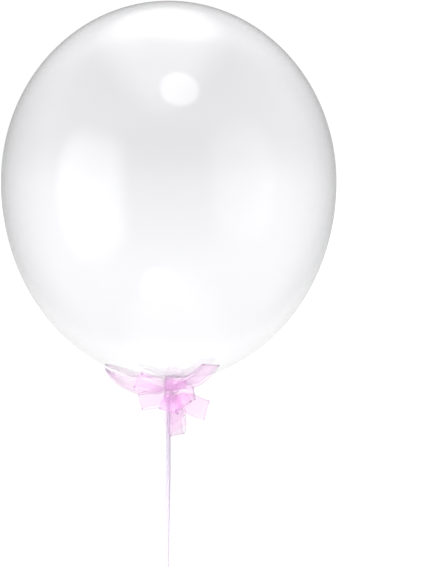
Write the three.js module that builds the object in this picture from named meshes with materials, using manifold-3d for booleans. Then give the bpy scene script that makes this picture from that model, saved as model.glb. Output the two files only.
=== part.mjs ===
// A clear bubble balloon that lies on the floor: a sealed film envelope, a bow of sheer ribbon tied
// round its neck, and a narrow ribbon string that runs out along the floor to a knot.
// Millimetres, +Z up. The origin is the middle of the small flat spot that the balloon rests on.
// The balloon's own axis runs from the neck, low at -Y, to the crown, high at +Y.

import * as THREE from 'three';
import { mergeVertices } from 'three/addons/utils/BufferGeometryUtils.js';
import Module from 'manifold-3d';

const wasm = await Module();
wasm.setup();

// Envelope: distances along the axis are from the widest ring, positive to the crown.
const BELLY_RADIUS = 150;
const CROWN_HEIGHT = 161.5;
const BASE_DEPTH = 178;
const BASE_TAPER = 0.03;
const NECK_RADIUS = 5;
const NECK_SHOULDER = 17;
const TIE_DEPTH = 181.5;
const TIE_LENGTH = 6;
const LIP_DEPTH = 197;
const LIP_RADIUS = 6.4;
const LIP_BEAD = 1.2;
const ROUND_SIDES = 50;
const CROWN_RINGS = 14;
const BASE_RINGS = 15;

// Pose on the floor
const AXIS_TILT = THREE.MathUtils.degToRad(37);
const REST_FLAT_DEPTH = 1.9;

// Bow
const RIBBON_WIDTH = 18;
const RIBBON_GATHER = 5;
const RIBBON_THICKNESS = 0.8;
const LAYER_GAP = 1.8;
const LOOP_STEPS = 14;
const TAIL_STEPS = 7;
const KNOT_SIZE = [10, 19, 9.6];
const BAND_WALL = 3;
const CLEARANCE = 0.35;

// String
const STRING_WIDTH = 5;
const STRING_THICKNESS = 1.2;
const STRING_SIDES = 8;
const STRING_STEPS = 26;
const STRING_KNOT = { x: 3.6, y: 3.2, z: 2.2 };
const STRING_KNOT_BACK = 9;

// The bow's loops and tails, in the bow's own frame: x to the right, v up the balloon's axis and
// w out of the front, from the middle of the tie. from is where the ribbon leaves the gather, tip
// where it turns back or ends, aim the way it points there, across the way its width lies there,
// puff how far its two layers part, and twist how far its width has turned by the gather. The
// knot's middle is in the same frame.
const KNOT_MIDDLE = [6.5, -4.6, 10.5];
const FROM_KNOT = [4.5, -1, 10];
const FROM_HEART = [7.5, -9, 12.5];
const FROM_LEFT = [-6.3, -3, 1.5];
const FROM_RIGHT = [5.5, -1, 4];
const FROM_BACK = [0, -1, -8];
const WING_TWIST = THREE.MathUtils.degToRad(70);
const LOOPS = [
  { from: FROM_KNOT, tip: [-27.5, 6.8, 44], aim: [-0.87, 0.35, 0.15], across: [10, 10.7, 10.5], puff: 5 },
  { from: FROM_KNOT, tip: [7, 7, 39], aim: [-0.05, 0.7, 0.6], across: [14.4, 2.5, 6], puff: 5 },
  { from: FROM_HEART, tip: [-25.3, -14, 21], aim: [-1, -0.25, 0], across: [4, -14, -10], puff: 5 },
  { from: FROM_HEART, tip: [0, -22.5, 25], aim: [-0.3, -1, 0.4], across: [16, -8, 0], puff: 8 },
  { from: FROM_HEART, tip: [13.5, -18.5, 24], aim: [0.8, -1, 0.4], across: [-11, -12.5, 6], puff: 5 },
  { from: FROM_HEART, tip: [7.5, -44, 9], aim: [0.05, -1, -0.1], across: [12, -1, -12], puff: 6 },
  { from: FROM_KNOT, tip: [23, -6.5, 16], aim: [1, -0.1, 0.2], across: [-2, -10, -12], puff: 6 },
  { from: FROM_HEART, tip: [34, -22, 10], aim: [1, -0.28, 0], across: [-4.7, -17, 3], puff: 5 },
  {
    from: FROM_LEFT,
    tip: [-57.5, 15.5, 8],
    aim: [-0.64, 0.77, 0],
    across: [0, 1, 18],
    puff: 3,
    twist: WING_TWIST,
  },
  { from: FROM_RIGHT, tip: [38, 20, 56], aim: [0.47, 0.62, 0.6], across: [12, -4, -11], puff: 3 },
];
const TAILS = [
  { from: FROM_BACK, tip: [8.5, -40, -15], aim: [0.45, -0.89, -0.1], across: [0.9, 0.43, -0.1] },
  { from: FROM_BACK, tip: [8, -33, -30], aim: [0.3, -1, -0.5], across: [1, 0.1, -0.9] },
];

// The middle line of the string, from behind the bow's knot down to the floor and along it.
const STRING_ROUTE = [
  [-0.2, -129.8, 49.9],
  [-0.2, -137.9, 47.1],
  [-0.2, -144.2, 41.5],
  [-0.2, -150.2, 35],
  [-0.2, -155.7, 27.8],
  [-0.2, -161, 20.5],
  [-0.2, -166.7, 13.6],
  [-0.2, -173.2, 7.7],
  [-0.2, -180.7, 3.7],
  [-0.3, -189.2, 1.6],
  [-0.3, -198.5, 1],
  [-0.4, -212, 1],
  [-0.5, -228, 1],
  [-0.6, -246, 1],
  [-0.7, -264, 1],
  [-0.8, -282, 1],
  [-0.9, -300, 1],
  [-1, -318, 1],
  [-1.1, -334, 1],
];

function baseRadius(turn) {
  return BELLY_RADIUS * Math.cos(turn) * (1 - BASE_TAPER * Math.sin(turn) ** 4);
}

// The half outline of the film from the crown to the shoulder above the neck, as (radius, height).
function filmOutline() {
  const points = [];
  for (let i = 0; i <= CROWN_RINGS; i += 1) {
    const turn = (Math.PI / 2) * (1 - i / CROWN_RINGS);
    points.push(new THREE.Vector2(BELLY_RADIUS * Math.cos(turn), CROWN_HEIGHT * Math.sin(turn)));
  }
  points[0].x = 0;
  for (let i = 1; i < BASE_RINGS; i += 1) {
    const turn = (Math.PI / 2) * (i / BASE_RINGS);
    const radius = baseRadius(turn);
    if (radius > NECK_SHOULDER) {
      points.push(new THREE.Vector2(radius, -BASE_DEPTH * Math.sin(turn)));
    }
  }
  return points;
}

// The neck: a hollow curve in from the film, the waist under the tie, and the flared lip.
function neckOutline(from) {
  const waist = new THREE.Vector2(NECK_RADIUS, -(TIE_DEPTH - TIE_LENGTH / 2));
  const shoulder = new THREE.QuadraticBezierCurve(
    from,
    new THREE.Vector2(NECK_RADIUS + 3, waist.y + 3),
    waist,
  );
  const flare = new THREE.CubicBezierCurve(
    new THREE.Vector2(NECK_RADIUS, -(TIE_DEPTH + TIE_LENGTH / 2)),
    new THREE.Vector2(NECK_RADIUS, -(TIE_DEPTH + TIE_LENGTH)),
    new THREE.Vector2(LIP_RADIUS, -(LIP_DEPTH - 8)),
    new THREE.Vector2(LIP_RADIUS, -(LIP_DEPTH - LIP_BEAD * 2)),
  );
  return [
    ...shoulder.getPoints(4).slice(1),
    ...flare.getPoints(5),
    new THREE.Vector2(LIP_RADIUS + LIP_BEAD, -(LIP_DEPTH - LIP_BEAD)),
    new THREE.Vector2(LIP_RADIUS, -LIP_DEPTH),
    new THREE.Vector2(0, -LIP_DEPTH),
  ];
}

// Where the tilted film is lowest: its height under the widest ring's centre, and how far along Y.
function lowestPoint(outline) {
  let lowest = { drop: 0, y: 0 };
  for (const point of outline) {
    const drop = point.x * Math.cos(AXIS_TILT) - point.y * Math.sin(AXIS_TILT);
    if (drop > lowest.drop) {
      lowest = { drop, y: point.y * Math.cos(AXIS_TILT) + point.x * Math.sin(AXIS_TILT) };
    }
  }
  return lowest;
}

const OUTLINE = filmOutline();
const FINE_OUTLINE = new THREE.SplineCurve(OUTLINE).getPoints(2000);
const LOWEST = lowestPoint(FINE_OUTLINE);
const CENTRE = new THREE.Vector3(0, -LOWEST.y, LOWEST.drop - REST_FLAT_DEPTH);
const AXIS_UP = new THREE.Vector3(0, Math.cos(AXIS_TILT), Math.sin(AXIS_TILT));
const AXIS_FRONT = new THREE.Vector3(0, -Math.sin(AXIS_TILT), Math.cos(AXIS_TILT));
const AXIS_RIGHT = new THREE.Vector3(1, 0, 0);

// A point given in the bow's frame, whose origin is the tied waist on the balloon's axis.
function bowPoint([x, v, w]) {
  return CENTRE.clone()
    .addScaledVector(AXIS_UP, v - TIE_DEPTH)
    .addScaledVector(AXIS_RIGHT, x)
    .addScaledVector(AXIS_FRONT, w);
}

function bowDirection([x, v, w]) {
  return new THREE.Vector3()
    .addScaledVector(AXIS_RIGHT, x)
    .addScaledVector(AXIS_UP, v)
    .addScaledVector(AXIS_FRONT, w)
    .normalize();
}

// Moves a shape made along +Y onto the balloon's tilted axis.
function ontoAxis(geometry) {
  geometry.rotateX(AXIS_TILT);
  geometry.translate(CENTRE.x, CENTRE.y, CENTRE.z);
  return geometry;
}

function solidOf(geometry) {
  const bare = geometry.clone();
  bare.deleteAttribute('normal');
  bare.deleteAttribute('uv');
  const merged = mergeVertices(bare, 1e-4);
  return new wasm.Manifold(new wasm.Mesh({
    numProp: 3,
    vertProperties: new Float32Array(merged.attributes.position.array),
    triVerts: new Uint32Array(merged.index.array),
  }));
}

function geometryOf(solid) {
  const { numProp, vertProperties, triVerts } = solid.getMesh();
  const geometry = new THREE.BufferGeometry();
  geometry.setAttribute('position', new THREE.BufferAttribute(new Float32Array(vertProperties), numProp));
  geometry.setIndex(new THREE.BufferAttribute(new Uint32Array(triVerts), 1));
  geometry.computeVertexNormals();
  return geometry;
}

function envelope() {
  const outline = [...OUTLINE, ...neckOutline(OUTLINE[OUTLINE.length - 1])];
  const film = ontoAxis(new THREE.LatheGeometry(outline.reverse(), ROUND_SIDES));
  const size = BELLY_RADIUS;
  const floor = new THREE.BoxGeometry(size, size, 10);
  floor.translate(0, 0, -5);
  return geometryOf(solidOf(film).subtract(solidOf(floor)));
}

// The middle line of a loop or tail, from inside the bow's knot to its tip.
function ribbonLine({ from, tip, aim }) {
  const start = bowPoint(from);
  const end = bowPoint(tip);
  const reach = start.distanceTo(end);
  const bend = end.clone().addScaledVector(bowDirection(aim), -reach * 0.45);
  return new THREE.QuadraticBezierCurve3(start, bend, end);
}

// Where one cross-section of the ribbon sits: its middle, its width direction and its half width.
function ribbonStation(line, { across, twist = 0 }, along, lift) {
  const tangent = line.getTangent(along);
  const width = bowDirection(across);
  width.addScaledVector(tangent, -width.dot(tangent)).normalize();
  width.applyAxisAngle(tangent, -twist * (1 - along));
  const normal = new THREE.Vector3().crossVectors(width, tangent);
  const opened = THREE.MathUtils.smoothstep(along, 0, 0.38);
  return {
    middle: line.getPoint(along).addScaledVector(normal, lift),
    width,
    half: THREE.MathUtils.lerp(RIBBON_GATHER, RIBBON_WIDTH, opened) / 2,
  };
}

// A loop goes out to its tip and back, with its two layers parted by the puff.
function loopStations(loop) {
  const line = ribbonLine(loop);
  const stations = [];
  for (let i = 0; i <= LOOP_STEPS; i += 1) {
    const turn = (2 * Math.PI * i) / LOOP_STEPS;
    const along = (1 - Math.cos(turn)) / 2;
    const side = Math.cos(turn / 2);
    const part = (LAYER_GAP / 2) * side + (loop.puff / 2) * Math.sin(turn) * Math.sin(turn / 2);
    stations.push(ribbonStation(line, loop, along, part));
  }
  return stations;
}

function tailStations(tail) {
  const line = ribbonLine(tail);
  const stations = [];
  for (let i = 0; i <= TAIL_STEPS; i += 1) {
    stations.push(ribbonStation(line, tail, i / TAIL_STEPS, 0));
  }
  stations[TAIL_STEPS].half *= 0.2;
  return stations;
}

// A closed strip of constant thickness through the stations, with square ends.
function stripGeometry(stations) {
  const positions = [];
  const index = [];
  stations.forEach((station, i) => {
    const before = stations[Math.max(i - 1, 0)].middle;
    const after = stations[Math.min(i + 1, stations.length - 1)].middle;
    const along = after.clone().sub(before).normalize();
    const normal = new THREE.Vector3().crossVectors(station.width, along).normalize();
    for (const [side, skin] of [[-1, -1], [1, -1], [1, 1], [-1, 1]]) {
      const corner = station.middle.clone()
        .addScaledVector(station.width, side * station.half)
        .addScaledVector(normal, skin * RIBBON_THICKNESS / 2);
      positions.push(corner.x, corner.y, corner.z);
    }
  });
  for (let i = 0; i < stations.length - 1; i += 1) {
    for (let k = 0; k < 4; k += 1) {
      const a = i * 4 + k;
      const b = i * 4 + ((k + 1) % 4);
      index.push(a, b + 4, b, a, a + 4, b + 4);
    }
  }
  const last = (stations.length - 1) * 4;
  index.push(0, 1, 2, 0, 2, 3);
  index.push(last, last + 2, last + 1, last, last + 3, last + 2);
  const geometry = new THREE.BufferGeometry();
  geometry.setAttribute('position', new THREE.BufferAttribute(new Float32Array(positions), 3));
  geometry.setIndex(index);
  return geometry;
}

// The ribbon drawn tight round the neck's waist.
function neckBand() {
  const inner = NECK_RADIUS + CLEARANCE;
  const half = TIE_LENGTH / 2 - CLEARANCE;
  const section = [
    new THREE.Vector2(inner, -half),
    new THREE.Vector2(inner + BAND_WALL, -half),
    new THREE.Vector2(inner + BAND_WALL, half),
    new THREE.Vector2(inner, half),
    new THREE.Vector2(inner, -half),
  ];
  const band = new THREE.LatheGeometry(section, 24);
  band.translate(0, -TIE_DEPTH, 0);
  return ontoAxis(band);
}

// The gathered knot in front of the neck.
function bowKnot() {
  const knot = new THREE.SphereGeometry(0.5, 16, 10);
  knot.scale(...KNOT_SIZE);
  knot.translate(KNOT_MIDDLE[0], KNOT_MIDDLE[1] - TIE_DEPTH, KNOT_MIDDLE[2]);
  return ontoAxis(knot);
}

function bow() {
  const strips = [
    ...LOOPS.map((loop) => stripGeometry(loopStations(loop))),
    ...TAILS.map((tail) => stripGeometry(tailStations(tail))),
  ];
  const joined = [neckBand(), bowKnot(), ...strips]
    .map(solidOf)
    .reduce((whole, piece) => whole.add(piece));
  return geometryOf(joined);
}

function string() {
  const section = new THREE.Shape();
  for (let i = 0; i < STRING_SIDES; i += 1) {
    const turn = (2 * Math.PI * (i + 0.5)) / STRING_SIDES;
    const grow = 1 / Math.cos(Math.PI / STRING_SIDES);
    const x = (STRING_WIDTH / 2) * grow * Math.cos(turn);
    const y = (STRING_THICKNESS / 2) * grow * Math.sin(turn);
    if (i === 0) {
      section.moveTo(x, y);
    } else {
      section.lineTo(x, y);
    }
  }
  section.closePath();
  const route = STRING_ROUTE.map((point) => new THREE.Vector3(...point));
  const tube = new THREE.ExtrudeGeometry(section, {
    steps: STRING_STEPS,
    extrudePath: new THREE.CatmullRomCurve3(route, false, 'centripetal'),
    bevelEnabled: false,
  });
  const knot = new THREE.SphereGeometry(1, 12, 8);
  knot.scale(STRING_KNOT.x, STRING_KNOT.y, STRING_KNOT.z);
  const end = route[route.length - 1];
  knot.translate(end.x, end.y + STRING_KNOT_BACK, STRING_KNOT.z);
  return geometryOf(solidOf(tube).add(solidOf(knot)));
}

function piece(name, geometry, material) {
  const mesh = new THREE.Mesh(geometry, material);
  mesh.name = name;
  return mesh;
}

const clearFilm = new THREE.MeshStandardMaterial({
  color: 0xe9ebec,
  roughness: 0.05,
  metalness: 0,
  transparent: true,
  opacity: 0.3,
});
const sheerRibbon = new THREE.MeshStandardMaterial({ color: 0xe7bdea, roughness: 0.35, metalness: 0 });
const curlingRibbon = new THREE.MeshStandardMaterial({ color: 0xdcd0e8, roughness: 0.3, metalness: 0 });

const balloon = new THREE.Group();
balloon.add(piece('film_envelope', envelope(), clearFilm));
balloon.add(piece('ribbon_bow', bow(), sheerRibbon));
balloon.add(piece('ribbon_string', string(), curlingRibbon));

export default balloon;
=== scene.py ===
"""The looks of a clear bubble balloon lying on the floor: its film, its sheer bow and its string.

Shapes are worked out in millimetres in the part's own frame and turned to metres as each mesh is
made. The balloon's own axis runs from the neck, low at -Y, to the crown, high at +Y.
"""

import math

import bpy
import numpy as np
from mathutils import Matrix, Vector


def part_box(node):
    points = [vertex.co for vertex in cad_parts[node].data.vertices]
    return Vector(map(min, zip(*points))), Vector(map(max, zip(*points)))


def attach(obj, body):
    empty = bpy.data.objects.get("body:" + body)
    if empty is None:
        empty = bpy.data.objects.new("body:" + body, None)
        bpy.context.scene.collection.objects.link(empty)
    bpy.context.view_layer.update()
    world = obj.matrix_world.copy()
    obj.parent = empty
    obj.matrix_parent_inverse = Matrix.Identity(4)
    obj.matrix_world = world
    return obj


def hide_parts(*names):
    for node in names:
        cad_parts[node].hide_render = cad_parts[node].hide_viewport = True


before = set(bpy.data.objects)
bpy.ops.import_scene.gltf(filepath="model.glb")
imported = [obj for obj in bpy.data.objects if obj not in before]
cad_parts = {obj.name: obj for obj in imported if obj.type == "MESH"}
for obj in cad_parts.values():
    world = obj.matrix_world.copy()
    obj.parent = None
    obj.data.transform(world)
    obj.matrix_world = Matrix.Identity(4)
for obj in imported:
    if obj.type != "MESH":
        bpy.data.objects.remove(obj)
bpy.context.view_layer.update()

MM = 0.001

# The balloon's frame: its axis up to the crown, its front, and its right-hand side.
TILT = math.radians(37)
AXIS = np.array([0.0, math.cos(TILT), math.sin(TILT)])
FRONT = np.array([0.0, -math.sin(TILT), math.cos(TILT)])
RIGHT = np.array([1.0, 0.0, 0.0])

# Film outline: distances along the axis are from the widest ring. The neck is gathered tight and
# tied, and flares below the tie to a rolled lip.
film_low, film_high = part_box("film_envelope")
BELLY_RADIUS = (film_high.x - film_low.x) / 2 / MM
CROWN_HEIGHT = 161.5
BASE_DEPTH = 178.0
BASE_TAPER = 0.03
BASE_TURN_IN = math.radians(78)
NECK_RADIUS = 3.2
TIE_DEPTH = 181.5
TIE_LENGTH = 6.0
NECK_BEND = 3.0
LIP_DEPTH = 197.0
LIP_RADIUS = 4.4
LIP_BEAD = 1.2
LIP_FLARE = 8.0
FILM_WALL = 0.3
FILM_SIDES = 192

# Where the film rests: how much of it the floor flattens, how softly that flat starts, and the
# heights between which the pressing fades in.
REST_FLAT_DEPTH = 1.9
REST_ROUNDING = 0.6
REST_HEIGHTS = (12.0, 2.0)

# The neck's pleats: how many, how deep against the radius, and where along the axis they start,
# and where they begin and finish easing out towards the lip.
NECK_PLEATS = 17
PLEAT_DEPTH = 0.06
PLEAT_START = -166.0
PLEAT_EASING = (-185.0, -196.0)

# Bow ribbon: its stock width, its width where the bow gathers it, its thickness, and how far
# apart a loop's two layers leave the gather.
RIBBON_WIDTH = 18.0
RIBBON_GATHER = 5.0
RIBBON_THICKNESS = 0.2
LAYER_GAP = 1.8

# How far the gathers, creases and flutter lift the ribbon off its middle surface.
GATHER_DEPTH = 0.75
CREASE_DEPTH = 0.5
FLUTTER_DEPTH = 0.8

# As shares of the way from the gather to the tip: where the ribbon has opened to its full width,
# and how far back from the tip the handle of its curve lies.
OPENING = 0.38
CURVE_HANDLE = 0.45

# The knot's wrap: half its width, how far it stands up and out from its middle, and its turns.
WRAP_HALF_WIDTH = 4.6
WRAP_UP = 5.6
WRAP_OUT = 4.7
WRAP_TURNS = 1.06

# The ribbon round the neck: its distance from the neck's middle, half its width, and its turns.
NECK_WRAP_RADIUS = NECK_RADIUS + 1.6
NECK_WRAP_HALF_WIDTH = 2.6
NECK_WRAP_TURNS = 0.985

# String: a narrow curling ribbon creased along its length.
STRING_THICKNESS = 0.25

# The overhand knot: how far it is from the string's tip, how far its strand reaches to the sides,
# along and up from its middle, how high its middle is above the string's, and half its strand's
# width and thickness.
STRING_KNOT_BACK = 9.0
STRING_KNOT_REACH = (2.4, 2.1, 0.75)
STRING_KNOT_RISE = 1.2
STRAND_HALF_WIDTH = 1.15
STRAND_HALF_THICKNESS = 0.75

# The middle line of the string, from behind the bow's knot down to the floor and along it.
STRING_ROUTE = [
    (-0.2, -129.8, 49.9),
    (-0.2, -137.9, 47.1),
    (-0.2, -144.2, 41.5),
    (-0.2, -150.2, 35),
    (-0.2, -155.7, 27.8),
    (-0.2, -161, 20.5),
    (-0.2, -166.7, 13.6),
    (-0.2, -173.2, 7.7),
    (-0.2, -180.7, 3.7),
    (-0.3, -189.2, 1.6),
    (-0.3, -198.5, 1),
    (-0.4, -212, 1),
    (-0.5, -228, 1),
    (-0.6, -246, 1),
    (-0.7, -264, 1),
    (-0.8, -282, 1),
    (-0.9, -300, 1),
    (-1, -318, 1),
    (-1.1, -334, 1),
]


def base_radius(turn):
    """The film's radius below its widest ring, at an angle down from it."""
    return BELLY_RADIUS * np.cos(turn) * (1 - BASE_TAPER * np.sin(turn) ** 4)


def resting_centre():
    """The middle of the widest ring, so high that the film's lowest part is flattened by the floor."""
    turn = np.linspace(0, BASE_TURN_IN, 4000)
    radius, along = base_radius(turn), -BASE_DEPTH * np.sin(turn)
    drop = radius * math.cos(TILT) - along * math.sin(TILT)
    k = int(np.argmax(drop))
    across = along[k] * math.cos(TILT) + radius[k] * math.sin(TILT)
    return np.array([0.0, -across, drop[k] - REST_FLAT_DEPTH])


CENTRE = resting_centre()


def balloon_point(right, along, front):
    """A point from its distances to the right, up the axis from the widest ring, and to the front."""
    right, along, front = (np.asarray(v, float)[..., None] for v in (right, along, front))
    return CENTRE + right * RIGHT + along * AXIS + front * FRONT


def bow_point(place):
    """A point from (right, up, front), measured from the middle of the tie."""
    return balloon_point(place[0], place[1] - TIE_DEPTH, place[2])


def bow_direction(aim):
    """A unit direction from its parts to the right, up the axis and to the front."""
    way = aim[0] * RIGHT + aim[1] * AXIS + aim[2] * FRONT
    return way / np.linalg.norm(way)


def smoothstep(value, low, high):
    """0 at low and 1 at high, with a soft start and end."""
    t = np.clip((np.asarray(value, float) - low) / (high - low), 0, 1)
    return t * t * (3 - 2 * t)


def unit(vectors):
    """The vectors scaled to a length of 1."""
    return vectors / np.maximum(np.linalg.norm(vectors, axis=-1, keepdims=True), 1e-9)


def smooth_curve(points, per_span):
    """A smooth curve through the points, with per_span steps between each two."""
    p = np.asarray(points, float)
    p = np.vstack([2 * p[0] - p[1], p, 2 * p[-1] - p[-2]])
    line = []
    for a, b, c, d in zip(p, p[1:], p[2:], p[3:]):
        for t in np.arange(per_span) / per_span:
            line.append(
                0.5
                * (
                    2 * b
                    + (c - a) * t
                    + (2 * a - 5 * b + 4 * c - d) * t**2
                    + (3 * b - a - 3 * c + d) * t**3
                )
            )
    return np.array(line + [p[-2]])


# ---------------------------------------------------------------- camera


def make_camera():
    """Looks down on the balloon square to its axis; the string runs down, out of the view."""
    distance = 3000.0
    view_height = 506.3
    aim = balloon_point(45.7, -90.6, 0)
    sensor = 24.0
    camera = bpy.data.objects.new("camera", bpy.data.cameras.new("camera"))
    camera.data.sensor_fit = "VERTICAL"
    camera.data.sensor_height = sensor
    camera.data.lens = sensor * distance / view_height
    place = (aim + distance * FRONT) * MM
    camera.matrix_world = Matrix(
        [
            [RIGHT[0], AXIS[0], FRONT[0], place[0]],
            [RIGHT[1], AXIS[1], FRONT[1], place[1]],
            [RIGHT[2], AXIS[2], FRONT[2], place[2]],
            [0, 0, 0, 1],
        ]
    )
    bpy.context.scene.collection.objects.link(camera)
    bpy.context.scene.camera = camera


# ---------------------------------------------------------------- meshes and materials


def make_mesh(name, points, faces, uvs=None, smooth=True):
    """A mesh object from points in millimetres; uvs has one pair for each point."""
    mesh = bpy.data.meshes.new(name)
    mesh.from_pydata((np.asarray(points) * MM).tolist(), [], faces)
    mesh.update()
    if uvs is not None:
        layer = mesh.uv_layers.new(name="UVMap")
        corner = np.zeros(len(mesh.loops), np.int32)
        mesh.loops.foreach_get("vertex_index", corner)
        layer.data.foreach_set("uv", np.asarray(uvs, np.float32)[corner].ravel())
    mesh.polygons.foreach_set("use_smooth", [smooth] * len(mesh.polygons))
    piece = bpy.data.objects.new(name, mesh)
    bpy.context.scene.collection.objects.link(piece)
    return piece


def linear(hex_colour):
    """An sRGB hex colour as linear RGBA."""
    parts = [int(hex_colour[k : k + 2], 16) / 255 for k in (1, 3, 5)]
    return [p / 12.92 if p <= 0.04045 else ((p + 0.055) / 1.055) ** 2.4 for p in parts] + [1]


def add(tree, kind, inputs=None, **settings):
    """Adds a node. inputs gives each socket a value, or the other node's output that is linked to it.

    A Map Range turns its value, 0, from the range 1 to 2 into the range 3 to 4. A Mix of numbers has
    its share at 0 and its two numbers at 2 and 3, and a mix of colours has them at 6 and 7."""
    made = tree.nodes.new(kind)
    for name, value in settings.items():
        setattr(made, name, value)
    for socket, value in (inputs or {}).items():
        if isinstance(value, bpy.types.NodeSocket):
            tree.links.new(value, made.inputs[socket])
        else:
            made.inputs[socket].default_value = value
    return made


def new_material(name):
    material = bpy.data.materials.new(name)
    material.use_nodes = True
    material.node_tree.nodes.clear()
    return material, material.node_tree


def stretched_clear_film():
    """PVC film blown up tight: colourless, glassy smooth, mirror-bright where it turns away."""
    material, tree = new_material("stretched_clear_film")
    film = add(
        tree,
        "ShaderNodeBsdfPrincipled",
        {
            "Base Color": linear("#f6f6f7"),
            "Roughness": 0.0,
            "IOR": 1.46,
            "Transmission Weight": 1.0,
        },
    )
    add(tree, "ShaderNodeOutputMaterial", {"Surface": film.outputs[0]})
    return material


def translucent_poly_ribbon():
    """Extruded polypropylene ribbon: sheer, glossy and tinted pink-lilac. One layer is almost
    colourless. It deepens where layers lie on each other, where it turns away and at its selvedges.
    Across the fold at each loop's tip a grey line is painted, darkest at the fold's corners: painted
    shade where the folded ribbon is seen edge on. Its gloss gives white glints."""
    material, tree = new_material("translucent_poly_ribbon")
    place = add(tree, "ShaderNodeUVMap")
    split = add(tree, "ShaderNodeSeparateXYZ", {0: place.outputs[0]})
    half = RIBBON_WIDTH / 2
    # The V coordinate is the distance from the middle of the width, in millimetres.
    off_middle = add(tree, "ShaderNodeMath", {0: split.outputs["Y"]}, operation="ABSOLUTE")
    selvedge = add(
        tree,
        "ShaderNodeMapRange",
        {0: off_middle.outputs[0], 1: half - 1.0, 2: half - 0.4, 3: 0.0, 4: 0.15},
        interpolation_type="SMOOTHSTEP",
    )
    view = add(tree, "ShaderNodeLayerWeight", {"Blend": 0.5})
    turned = add(tree, "ShaderNodeMath", {0: view.outputs["Facing"], 1: 8.0}, operation="POWER")
    dense = add(
        tree,
        "ShaderNodeMath",
        {0: selvedge.outputs[0], 1: turned.outputs[0]},
        operation="MAXIMUM",
    )
    tint = add(
        tree,
        "ShaderNodeMix",
        {0: dense.outputs[0], 6: linear("#ffffff"), 7: linear("#d6c2da")},
        data_type="RGBA",
    )
    # The U coordinate is the distance along the ribbon from the fold at a loop's tip.
    # Painted shade: a grey line across the fold at each loop's tip, darkest at the fold's corners,
    # where the folded ribbon is seen edge on.
    turn = add(
        tree,
        "ShaderNodeMapRange",
        {0: split.outputs["X"], 1: 0.2, 2: 1.1, 3: 1.0, 4: 0.0},
        interpolation_type="SMOOTHSTEP",
    )
    corner = add(
        tree,
        "ShaderNodeMapRange",
        {0: off_middle.outputs[0], 1: half - 3.0, 2: half - 1.0, 3: 0.12, 4: 0.65},
        interpolation_type="SMOOTHSTEP",
    )
    fold = add(tree, "ShaderNodeMath", {0: turn.outputs[0], 1: corner.outputs[0]}, operation="MULTIPLY")
    tint = add(
        tree,
        "ShaderNodeMix",
        {0: fold.outputs[0], 6: tint.outputs[2], 7: linear("#b3a6ba")},
        data_type="RGBA",
    )
    see_through = add(tree, "ShaderNodeBsdfTransparent", {"Color": tint.outputs[2]})
    body = add(tree, "ShaderNodeBsdfDiffuse", {"Color": linear("#f8aef0")})
    share = add(tree, "ShaderNodeMapRange", {0: dense.outputs[0], 3: 0.085, 4: 0.16})
    milky = add(
        tree,
        "ShaderNodeMixShader",
        {0: share.outputs[0], 1: see_through.outputs[0], 2: body.outputs[0]},
    )
    gloss = add(tree, "ShaderNodeBsdfGlossy", {"Roughness": 0.11})
    grazing = add(tree, "ShaderNodeMath", {0: view.outputs["Facing"], 1: 5.0}, operation="POWER")
    mirror = add(tree, "ShaderNodeMapRange", {0: grazing.outputs[0], 3: 0.05, 4: 0.6})
    ribbon = add(
        tree,
        "ShaderNodeMixShader",
        {0: mirror.outputs[0], 1: milky.outputs[0], 2: gloss.outputs[0]},
    )
    add(tree, "ShaderNodeOutputMaterial", {"Surface": ribbon.outputs[0]})
    return material


def creased_curling_ribbon():
    """Extruded polypropylene curling ribbon: satin grey-lilac, finely ribbed along its length. The
    ribs are drawn at 0.5 mm, about twice as coarse as real ones, so that they can show."""
    material, tree = new_material("creased_curling_ribbon")
    rib_spacing = 0.5
    place = add(tree, "ShaderNodeUVMap")
    split = add(tree, "ShaderNodeSeparateXYZ", {0: place.outputs[0]})
    ribs = add(
        tree,
        "ShaderNodeMath",
        {0: split.outputs["Y"], 1: 2 * math.pi / rib_spacing},
        operation="MULTIPLY",
    )
    wave = add(tree, "ShaderNodeMath", {0: ribs.outputs[0]}, operation="SINE")
    bump = add(
        tree,
        "ShaderNodeBump",
        {"Height": wave.outputs[0], "Strength": 0.15, "Distance": 0.1 * MM},
    )
    ribbon = add(
        tree,
        "ShaderNodeBsdfPrincipled",
        {
            "Base Color": linear("#c3bbc9"),
            "Roughness": 0.5,
            "IOR": 1.49,
            "Specular IOR Level": 0.1,
            "Normal": bump.outputs[0],
        },
    )
    add(tree, "ShaderNodeOutputMaterial", {"Surface": ribbon.outputs[0]})
    return material


# ---------------------------------------------------------------- string


def string_section():
    """The creased ribbon seen end on, from edge to edge, as distances across and up."""
    across = np.array([-2.25, -1.4, -0.5, 0.4, 0.75, 1.1, 1.45, 1.75])
    up = np.array([0.3, 0.1, 0.0, -0.1, -0.05, 0.12, 0.4, 0.65])
    return across, up


def string_knot():
    """The overhand knot tied near the string's end, as points, faces and uvs."""
    turn = np.linspace(0, 2 * math.pi, 90, endpoint=False)
    line = np.stack(
        [
            (np.sin(turn) + 2 * np.sin(2 * turn)) / 3,
            (np.cos(turn) - 2 * np.cos(2 * turn)) / 3,
            -np.sin(3 * turn),
        ],
        axis=1,
    )
    line *= STRING_KNOT_REACH
    line += np.array(STRING_ROUTE[-1]) + (0, STRING_KNOT_BACK, STRING_KNOT_RISE)
    along = unit(np.roll(line, -1, axis=0) - np.roll(line, 1, axis=0))
    side = unit(np.cross(along, [0.0, 0.0, 1.0]))
    up = np.cross(side, along)
    points, uvs, faces = [], [], []
    sides, step = 12, 0.3
    for i, middle in enumerate(line):
        for k in range(sides):
            angle = 2 * math.pi * k / sides
            across = STRAND_HALF_WIDTH * math.cos(angle)
            rise = STRAND_HALF_THICKNESS * math.sin(angle)
            points.append(middle + side[i] * across + up[i] * rise)
            uvs.append((i * step, across))
            a, b = i * sides + k, i * sides + (k + 1) % sides
            onward = (i + 1) % len(line) * sides
            faces.append((a, onward + k, onward + (k + 1) % sides, b))
    return points, faces, uvs


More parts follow.
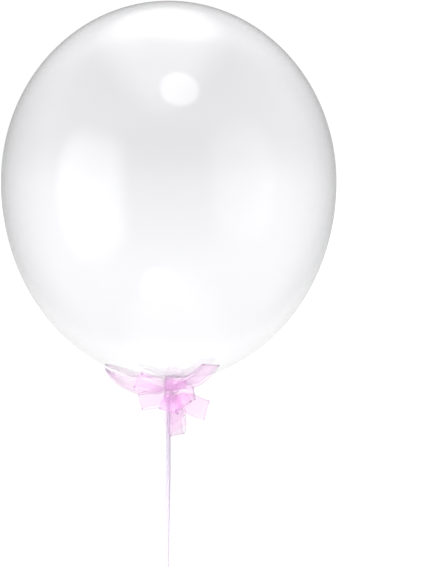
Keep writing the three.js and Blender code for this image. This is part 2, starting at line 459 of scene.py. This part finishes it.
def make_string():
    """The creased ribbon swept along its route, with the knot tied near its end."""
    line = smooth_curve(STRING_ROUTE, 8)
    along = unit(np.gradient(line, axis=0))
    side = np.tile(RIGHT, (len(line), 1))
    side = unit(side - along * np.sum(side * along, axis=1)[:, None])
    up = np.cross(side, along)
    across, rise = string_section()
    travelled = np.concatenate([[0], np.cumsum(np.linalg.norm(np.diff(line, axis=0), axis=1))])
    points, uvs = [], []
    half = STRING_THICKNESS / 2
    strip = np.concatenate([across, across[::-1]])
    levels = np.concatenate([rise + half, rise[::-1] - half])
    for i, middle in enumerate(line):
        for x, h in zip(strip, levels):
            points.append(middle + side[i] * x + up[i] * h)
            uvs.append((travelled[i], x))
    n = len(strip)
    faces = []
    for i in range(len(line) - 1):
        for k in range(n):
            a, b = i * n + k, i * n + (k + 1) % n
            faces.append((a, a + n, b + n, b))
    faces.append(tuple(range(n)))
    last = (len(line) - 1) * n
    faces.append(tuple(last + k for k in reversed(range(n))))
    knot, knot_faces, knot_uvs = string_knot()
    faces += [tuple(len(points) + k for k in face) for face in knot_faces]
    points += knot
    uvs += knot_uvs
    piece = make_mesh("curling_string", points, faces, uvs)
    piece.data.materials.append(creased_curling_ribbon())
    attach(piece, "root")
    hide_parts("ribbon_string")


# ---------------------------------------------------------------- film


def film_profile():
    """The film's outer outline from the crown to the rolled lip, as (radius, along the axis)."""
    crown = np.linspace(math.pi / 2, 0, 64)
    base = np.linspace(0, BASE_TURN_IN, 60)[1:]
    outline = [(BELLY_RADIUS * math.cos(t), CROWN_HEIGHT * math.sin(t)) for t in crown]
    outline += [(base_radius(t), -BASE_DEPTH * math.sin(t)) for t in base]
    start = np.array(outline[-1])
    waist = np.array([NECK_RADIUS, -(TIE_DEPTH - TIE_LENGTH / 2)])
    bend = waist + NECK_BEND
    for t in np.linspace(0, 1, 12)[1:]:
        outline.append(tuple((1 - t) ** 2 * start + 2 * t * (1 - t) * bend + t * t * waist))
    foot = np.array([NECK_RADIUS, -(TIE_DEPTH + TIE_LENGTH / 2)])
    pull = np.array([NECK_RADIUS, -(TIE_DEPTH + TIE_LENGTH)])
    spread = np.array([LIP_RADIUS, -(LIP_DEPTH - LIP_FLARE)])
    lip = np.array([LIP_RADIUS, -(LIP_DEPTH - 2 * LIP_BEAD)])
    for t in np.linspace(0, 1, 12):
        outline.append(
            tuple(
                (1 - t) ** 3 * foot
                + 3 * t * (1 - t) ** 2 * pull
                + 3 * t * t * (1 - t) * spread
                + t**3 * lip
            )
        )
    for t in np.linspace(0, math.pi, 7)[1:]:
        bead = LIP_BEAD * np.array([math.sin(t), math.cos(t)])
        outline.append(tuple(lip + np.array([0, -LIP_BEAD]) + bead * 0.9))
    return np.array(outline)


def rounded_rest(points, floor):
    """Presses the points that would go through the floor up onto it, in a soft curve. Only points
    near the floor are moved."""
    lifted = points.copy()
    height = points[..., 2] - floor
    lifted[..., 2] = floor + (height + np.sqrt(height**2 + REST_ROUNDING**2)) / 2
    near = smoothstep(points[..., 2], *REST_HEIGHTS)
    lifted[..., 2] = points[..., 2] + (lifted[..., 2] - points[..., 2]) * near
    return lifted


def make_film():
    """The film as one closed skin, its outer face and then its inner one, pleated at the neck."""
    sides = FILM_SIDES
    outer = film_profile()
    slope = unit(np.gradient(outer, axis=0))
    inward = np.stack([slope[:, 1], -slope[:, 0]], axis=1)
    inner = outer + inward * FILM_WALL
    outer[0, 0] = inner[0, 0] = 0
    theta = np.linspace(0, 2 * math.pi, sides, endpoint=False)
    pleated = smoothstep(outer[:, 1], PLEAT_START, -TIE_DEPTH)
    pleated = pleated * (1 - 0.6 * smoothstep(outer[:, 1], *PLEAT_EASING))
    wave = np.cos(NECK_PLEATS * theta) + 0.35 * np.cos(2 * NECK_PLEATS * theta + 1)
    points, uvs, faces = [], [], []
    rows = []
    for k, wall in enumerate((outer, inner[::-1])):
        depth = pleated if k == 0 else pleated[::-1]
        for j, (radius, along) in enumerate(wall):
            if radius < 1e-6:
                rows.append([len(points)])
                points.append(balloon_point(0, along, 0))
                uvs.append((0, along))
                continue
            r = radius * (1 + PLEAT_DEPTH * depth[j] ** 2 * wave)
            ring = balloon_point(r * np.cos(theta), np.full(sides, along), r * np.sin(theta))
            ring = rounded_rest(ring, 0.0 if k == 0 else FILM_WALL)
            rows.append(list(range(len(points), len(points) + sides)))
            points.extend(ring)
            uvs.extend((t, along) for t in theta)
    for lower, upper in zip(rows, rows[1:]):
        for i in range(sides):
            n = (i + 1) % sides
            if len(lower) == 1:
                faces.append((lower[0], upper[n], upper[i]))
            elif len(upper) == 1:
                faces.append((lower[i], lower[n], upper[0]))
            else:
                faces.append((lower[i], lower[n], upper[n], upper[i]))
    piece = make_mesh("bubble_film", points, faces, uvs)
    piece.data.materials.append(stretched_clear_film())
    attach(piece, "root")
    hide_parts("film_envelope")


# ---------------------------------------------------------------- bow

# Where the ribbon leaves the gather, as (right, up, front) from the middle of the tie.
AT_KNOT = (4.5, -1, 10)
AT_HEART = (7.5, -9, 12.5)
AT_LEFT = (-6.3, -3, 1.5)
AT_RIGHT = (5.5, -1, 4)
AT_BACK = (0, -1, -8)

# How far the left wing's width has turned by the gather, in degrees.
WING_TWIST = 70

# Each loop: where it starts, its tip, the way it points there, the way its width lies there, how
# far its two layers part, and how many degrees its width has turned by the gather.
LOOPS = [
    (AT_KNOT, (-27.5, 6.8, 44), (-0.87, 0.35, 0.15), (10, 10.7, 10.5), 5, 0),
    (AT_KNOT, (7, 7, 39), (-0.05, 0.7, 0.6), (14.4, 2.5, 6), 5, 0),
    (AT_HEART, (-25.3, -14, 21), (-1, -0.25, 0), (4, -14, -10), 5, 0),
    (AT_HEART, (0, -22.5, 25), (-0.3, -1, 0.4), (16, -8, 0), 8, 0),
    (AT_HEART, (13.5, -18.5, 24), (0.8, -1, 0.4), (-11, -12.5, 6), 5, 0),
    (AT_HEART, (7.5, -44, 9), (0.05, -1, -0.1), (12, -1, -12), 6, 0),
    (AT_KNOT, (23, -6.5, 16), (1, -0.1, 0.2), (-2, -10, -12), 6, 0),
    (AT_HEART, (34, -22, 10), (1, -0.28, 0), (-4.7, -17, 3), 5, 0),
    (AT_LEFT, (-57.5, 16.3, 8), (-0.68, 0.73, 0), (0, 1, 18), 1, WING_TWIST),
    (AT_RIGHT, (38, 20, 56), (0.47, 0.62, 0.6), (12, -4, -11), 3, 0),
]

# Each cut end: where it starts, its tip, the way it points there, and the way its width lies.
TAILS = [
    (AT_BACK, (8.5, -40, -15), (0.45, -0.89, -0.1), (0.9, 0.43, -0.1)),
    (AT_BACK, (8, -33, -30), (0.3, -1, -0.5), (1, 0.1, -0.9)),
]

# How finely the ribbon is divided: along a loop, along a tail and across its width.
LOOP_STATIONS = 72
TAIL_STATIONS = 32
ACROSS = 14


def ribbon_line(start, tip, aim, along):
    """Points and unit tangents on the curve from the gather to the tip."""
    a, c = bow_point(start), bow_point(tip)
    b = c - bow_direction(aim) * np.linalg.norm(c - a) * CURVE_HANDLE
    t = along[:, None]
    point = (1 - t) ** 2 * a + 2 * t * (1 - t) * b + t * t * c
    return point, unit((1 - t) * (b - a) + t * (c - b))


def ribbon_sheet(start, tip, aim, across, along, lift, phase, turn=0.0):
    """The middle surface of one run of ribbon, as a grid of points, with its gathers and flutter."""
    point, tangent = ribbon_line(start, tip, aim, along)
    width = np.tile(bow_direction(across), (len(along), 1))
    width = unit(width - tangent * np.sum(width * tangent, axis=1)[:, None])
    normal = np.cross(width, tangent)
    roll = (math.radians(turn) * (1 - along))[:, None]
    cos, sin = np.cos(roll), np.sin(roll)
    width, normal = width * cos + normal * sin, normal * cos - width * sin
    opened = smoothstep(along, 0, OPENING)
    half = (RIBBON_GATHER + (RIBBON_WIDTH - RIBBON_GATHER) * opened) / 2
    c = np.linspace(-1, 1, ACROSS + 1)[None, :]
    s = along[:, None]
    gathers = GATHER_DEPTH * (1 - opened[:, None]) * np.cos(1.5 * 2 * math.pi * (c + phase) / 2)
    creases = CREASE_DEPTH * (1 - s) ** 1.5 * s * 4 * np.sin(5 * c + 7 * phase)
    flutter = FLUTTER_DEPTH * s * np.sin(4.5 * s + 6 * phase) * c * np.abs(c)
    rise = lift[:, None] + gathers + creases + flutter
    return (
        point[:, None, :]
        + width[:, None, :] * (c * half[:, None])[..., None]
        + normal[:, None, :] * rise[..., None]
    )


def thin_sheet(grid, turn):
    """A closed strip of the ribbon's thickness round a grid of points, as points, faces, uvs and its
    length. turn says how far along the strip, from 0 to 1, it folds back; past 1, it has no fold."""
    rows, columns = grid.shape[:2]
    run = np.gradient(grid, axis=0)
    cross = np.gradient(grid, axis=1)
    normal = unit(np.cross(cross, run))
    steps = np.linalg.norm(np.diff(grid[:, columns // 2], axis=0), axis=1)
    travelled = np.concatenate([[0], np.cumsum(steps)])
    off = np.linspace(-RIBBON_WIDTH / 2, RIBBON_WIDTH / 2, columns)
    top = (grid + normal * RIBBON_THICKNESS / 2).reshape(-1, 3)
    bottom = (grid - normal * RIBBON_THICKNESS / 2).reshape(-1, 3)
    from_turn = np.abs(travelled - turn * travelled[-1])
    uv = [(from_turn[i], off[k]) for i in range(rows) for k in range(columns)]
    count = rows * columns
    faces = []
    for i in range(rows - 1):
        for k in range(columns - 1):
            a = i * columns + k
            b, d = a + 1, a + columns
            faces.append((a, b, d + 1, d))
            faces.append((count + a, count + d, count + d + 1, count + b))
    rim = list(range(columns))
    rim += [i * columns + columns - 1 for i in range(1, rows)]
    rim += [(rows - 1) * columns + k for k in range(columns - 2, -1, -1)]
    rim += [i * columns for i in range(rows - 2, 0, -1)]
    for a, b in zip(rim, rim[1:] + rim[:1]):
        faces.append((b, a, count + a, count + b))
    return np.vstack([top, bottom]), faces, uv + uv, travelled[-1]


def loop_grid(number):
    """A loop, out to its tip and back, with its two layers parted by the puff."""
    start, tip, aim, across, puff, twist = LOOPS[number]
    turn = np.linspace(0, 2 * math.pi, LOOP_STATIONS)
    along = (1 - np.cos(turn)) / 2
    lift = LAYER_GAP / 2 * np.cos(turn / 2) + puff / 2 * np.sin(turn) * np.sin(turn / 2)
    return ribbon_sheet(start, tip, aim, across, along, lift, number * 0.37, twist)


def tail_grid(number):
    """A cut end of the ribbon, gently waved."""
    start, tip, aim, across = TAILS[number]
    along = np.linspace(0, 1, TAIL_STATIONS)
    lift = 0.6 * np.sin(9 * along + number)
    return ribbon_sheet(start, tip, aim, across, along, lift, 0.2 + number * 0.4)


def knot_wrap_grid():
    """The ribbon drawn round the gathered loops in front of the neck, pleated across its width."""
    turn = np.linspace(0, 2 * math.pi * WRAP_TURNS, 72)
    c = np.linspace(-1, 1, ACROSS + 1)
    middle = np.array(AT_KNOT)
    grid = np.zeros((len(turn), len(c), 3))
    for i, t in enumerate(turn):
        swell = 1 + 0.09 * np.cos(3 * 2 * math.pi * (c + 0.1 * math.sin(2 * t)) / 2) - 0.22 * c**2
        right = middle[0] + WRAP_HALF_WIDTH * c + 0.8 * math.sin(t)
        up = middle[1] + WRAP_UP * swell * math.cos(t)
        front = middle[2] + WRAP_OUT * swell * math.sin(t)
        grid[i] = balloon_point(right, up - TIE_DEPTH, front)
    return grid


def neck_wrap_grid():
    """The ribbon drawn tight round the neck."""
    turn = np.linspace(0, 2 * math.pi * NECK_WRAP_TURNS, 84)
    c = np.linspace(-1, 1, ACROSS + 1)
    grid = np.zeros((len(turn), len(c), 3))
    for i, t in enumerate(turn):
        radius = NECK_WRAP_RADIUS + 0.45 * np.cos(2.5 * 2 * math.pi * c / 2) - 0.3 * c**2
        grid[i] = balloon_point(
            radius * math.sin(t), -TIE_DEPTH + NECK_WRAP_HALF_WIDTH * c, -radius * math.cos(t)
        )
    return grid


def make_bow():
    """The whole ribbon as one piece: loops, cut ends, the knot's wrap and the turn round the neck."""
    halfway, unfolded = 0.5, 2.0
    grids = [(loop_grid(n), halfway) for n in range(len(LOOPS))]
    grids += [(tail_grid(n), unfolded) for n in range(len(TAILS))]
    grids += [(knot_wrap_grid(), unfolded), (neck_wrap_grid(), unfolded)]
    points, faces, uvs, length = [], [], [], 0.0
    for grid, turn in grids:
        strip, quads, uv, run = thin_sheet(grid, turn)
        base = len(points)
        points.extend(strip)
        faces.extend(tuple(base + k for k in quad) for quad in quads)
        uvs.extend(uv)
        length += run
    piece = make_mesh("sheer_bow", points, faces, uvs)
    piece.data.materials.append(translucent_poly_ribbon())
    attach(piece, "root")
    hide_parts("ribbon_bow")


# ---------------------------------------------------------------- floor and studio


def straight_ray(tree):
    """1 for light seen directly or through the film, 0 for light that was reflected or scattered."""
    path = add(tree, "ShaderNodeLightPath")
    bounced = add(
        tree,
        "ShaderNodeMath",
        {0: path.outputs["Ray Depth"], 1: path.outputs["Transmission Depth"]},
        operation="SUBTRACT",
    )
    clear = add(tree, "ShaderNodeMath", {0: bounced.outputs[0], 1: 0.5}, operation="LESS_THAN")
    either = add(
        tree,
        "ShaderNodeMath",
        {0: clear.outputs[0], 1: path.outputs["Is Camera Ray"]},
        operation="MAXIMUM",
    )
    return either.outputs[0]


# A ramp's colours stop at 1, so it holds levels divided by this.
RAMP_TOP = 2.0


def levels_ramp(tree, value, levels):
    """A smooth ramp through (place, level) pairs, with places from 0 to 1. It gives each level
    divided by RAMP_TOP."""
    made = add(tree, "ShaderNodeValToRGB", {0: value})
    ramp = made.color_ramp
    ramp.interpolation = "B_SPLINE"
    while len(ramp.elements) < len(levels):
        ramp.elements.new(0.5)
    for element, (place, level) in zip(ramp.elements, levels):
        element.position = place
        element.color = [level / RAMP_TOP] * 3 + [1]
    return made.outputs[0]


# How bright the white floor is at distances along Y, in millimetres: a painted pool of light, brightest
# under the balloon's middle and plain white beyond it.
FLOOR_GLOW = [(210, 1.0), (180, 1.05), (150, 1.14), (60, 1.21), (-50, 1.25), (-95, 1.0)]


def make_floor():
    """A white floor to look at. Light that the film or the bow has turned passes through it, so that
    they mirror the studio below it instead."""
    half, level = 20000, -0.3
    corners = [(x * half, y * half, level) for x, y in ((-1, -1), (1, -1), (1, 1), (-1, 1))]
    floor = make_mesh("studio_floor", corners, [(0, 1, 2, 3)], smooth=False)
    material, tree = new_material("white_studio_floor")
    place = add(tree, "ShaderNodeNewGeometry")
    split = add(tree, "ShaderNodeSeparateXYZ", {0: place.outputs["Position"]})
    far_edge, near_edge = FLOOR_GLOW[0][0] * MM, FLOOR_GLOW[-1][0] * MM
    along = add(tree, "ShaderNodeMapRange", {0: split.outputs["Y"], 1: far_edge, 2: near_edge})
    glow = levels_ramp(
        tree,
        along.outputs[0],
        [((y * MM - far_edge) / (near_edge - far_edge), level) for y, level in FLOOR_GLOW],
    )
    seen = add(tree, "ShaderNodeEmission", {"Color": glow, "Strength": RAMP_TOP})
    passed = add(tree, "ShaderNodeBsdfTransparent")
    surface = add(
        tree,
        "ShaderNodeMixShader",
        {0: straight_ray(tree), 1: passed.outputs[0], 2: seen.outputs[0]},
    )
    add(tree, "ShaderNodeOutputMaterial", {"Surface": surface.outputs[0]})
    floor.data.materials.append(material)


# The studio's soft lights: their direction from the balloon (to the right, up its axis and out of
# its front), half width and half height in degrees, edge softness, strength and form.
SOFT_LIGHTS = [
    ((0.119, 0.825, 0.552), 11.5, 11.5, 0.16, 3.3, "round"),
    ((0.05, 0.942, -0.33), 13, 12, 0.6, 1.6, "round"),
    ((-0.06, 1, 0.0), 44, 24, 0.55, 2.6, "round"),
    ((-0.817, -0.07, 0.572), 24, 27, 0.35, 2.6, "square"),
]

# The even light on everything that is rougher than the film.
EVEN_GLOW = 1.12

# How many times brighter the soft lights are in rough gloss, which spreads them out, and how
# bright they are on matt surfaces and inside the film.
GLINT = 5.0
MATT_LIGHT = 0.9
INSIDE_LIGHT = 0.4

# The studio's grey, which all its light is multiplied by, and the strength that turns it to white
# where it is seen directly.
STUDIO_GREY = 0.8
WHITE_STRENGTH = 1 / STUDIO_GREY

# How bright the studio is that the film mirrors, from straight down, -1, to straight up, 1.
DOME_GLOW = [
    (-1, 1.6),
    (-0.9, 1.5),
    (-0.84, 1.25),
    (-0.78, 0.85),
    (-0.65, 0.66),
    (-0.4, 0.76),
    (-0.1, 1.1),
    (0.1, 1.25),
    (0.3, 1.0),
    (0.6, 0.45),
    (0.85, 0.08),
]


def studio_glow(tree, way, light):
    """The strength of one soft light seen along way: an ellipse or a rectangle with soft edges."""
    toward, wide, tall, soft, strength, form = light
    ahead = bow_direction(toward)
    side = unit(np.cross(AXIS, ahead))
    above = np.cross(ahead, side)
    dots = [
        add(
            tree,
            "ShaderNodeVectorMath",
            {0: way, 1: v.tolist()},
            operation="DOT_PRODUCT",
        ).outputs["Value"]
        for v in (ahead, side, above)
    ]
    front = add(tree, "ShaderNodeMath", {0: dots[0], 1: 0.01}, operation="MAXIMUM")
    offsets = []
    for dot, half in zip(dots[1:], (wide, tall)):
        slope = add(tree, "ShaderNodeMath", {0: dot, 1: front.outputs[0]}, operation="DIVIDE")
        offsets.append(
            add(
                tree,
                "ShaderNodeMath",
                {0: slope.outputs[0], 1: math.tan(math.radians(half))},
                operation="DIVIDE",
            ).outputs[0]
        )
    if form == "round":
        both = add(tree, "ShaderNodeCombineXYZ", {0: offsets[0], 1: offsets[1]})
        away = add(
            tree, "ShaderNodeVectorMath", {0: both.outputs[0]}, operation="LENGTH"
        ).outputs["Value"]
    else:
        powers = [
            add(
                tree,
                "ShaderNodeMath",
                {0: add(tree, "ShaderNodeMath", {0: o}, operation="ABSOLUTE").outputs[0], 1: 4.0},
                operation="POWER",
            ).outputs[0]
            for o in offsets
        ]
        total = add(tree, "ShaderNodeMath", {0: powers[0], 1: powers[1]}, operation="ADD")
        away = add(
            tree, "ShaderNodeMath", {0: total.outputs[0], 1: 0.25}, operation="POWER"
        ).outputs[0]
    return add(
        tree,
        "ShaderNodeMapRange",
        {0: away, 1: 1 + soft, 2: 1 - soft, 3: 0.0, 4: strength},
        interpolation_type="SMOOTHSTEP",
    ).outputs[0]


def make_studio():
    """White all round to look at; what the film and ribbon catch is a dim ceiling, a bright horizon
    and four soft lights."""
    world = bpy.data.worlds.new("soft_studio")
    bpy.context.scene.world = world
    world.use_nodes = True
    tree = world.node_tree
    tree.nodes.clear()
    place = add(tree, "ShaderNodeTexCoord")
    way = place.outputs["Generated"]
    split = add(tree, "ShaderNodeSeparateXYZ", {0: way})
    height = add(tree, "ShaderNodeMapRange", {0: split.outputs["Z"], 1: -1.0, 2: 1.0})
    dome = levels_ramp(tree, height.outputs[0], [((z + 1) / 2, level) for z, level in DOME_GLOW])
    path = add(tree, "ShaderNodeLightPath")
    # The film mirrors the dim dome sharply; all that is rougher is lit by a bright even one.
    total = add(
        tree,
        "ShaderNodeMix",
        {0: path.outputs["Is Singular Ray"], 2: EVEN_GLOW / RAMP_TOP, 3: dome},
        data_type="FLOAT",
    ).outputs[0]
    total = add(tree, "ShaderNodeMath", {0: total, 1: RAMP_TOP}, operation="MULTIPLY").outputs[0]
    inside = add(
        tree,
        "ShaderNodeMapRange",
        {0: path.outputs["Transmission Depth"], 1: 1.0, 2: 2.0, 3: 1.0, 4: INSIDE_LIGHT},
    )
    spread = add(
        tree,
        "ShaderNodeMix",
        {0: path.outputs["Is Diffuse Ray"], 2: GLINT, 3: MATT_LIGHT},
        data_type="FLOAT",
    )
    share = add(
        tree,
        "ShaderNodeMix",
        {0: path.outputs["Is Singular Ray"], 2: spread.outputs[0], 3: inside.outputs[0]},
        data_type="FLOAT",
    )
    for light in SOFT_LIGHTS:
        total = add(
            tree,
            "ShaderNodeMath",
            {0: studio_glow(tree, way, light), 1: share.outputs[0], 2: total},
            operation="MULTIPLY_ADD",
        ).outputs[0]
    seen = add(
        tree,
        "ShaderNodeMix",
        {0: straight_ray(tree), 2: total, 3: WHITE_STRENGTH},
        data_type="FLOAT",
    )
    background = add(
        tree,
        "ShaderNodeBackground",
        {"Color": [STUDIO_GREY] * 3 + [1.0], "Strength": seen.outputs[0]},
    )
    add(tree, "ShaderNodeOutputWorld", {"Surface": background.outputs[0]})


make_camera()
make_string()
make_film()
make_bow()
make_floor()
make_studio()

scene = bpy.context.scene
scene.view_settings.view_transform = "Standard"
scene.cycles.max_bounces = 32
scene.cycles.transmission_bounces = 24
scene.cycles.transparent_max_bounces = 64
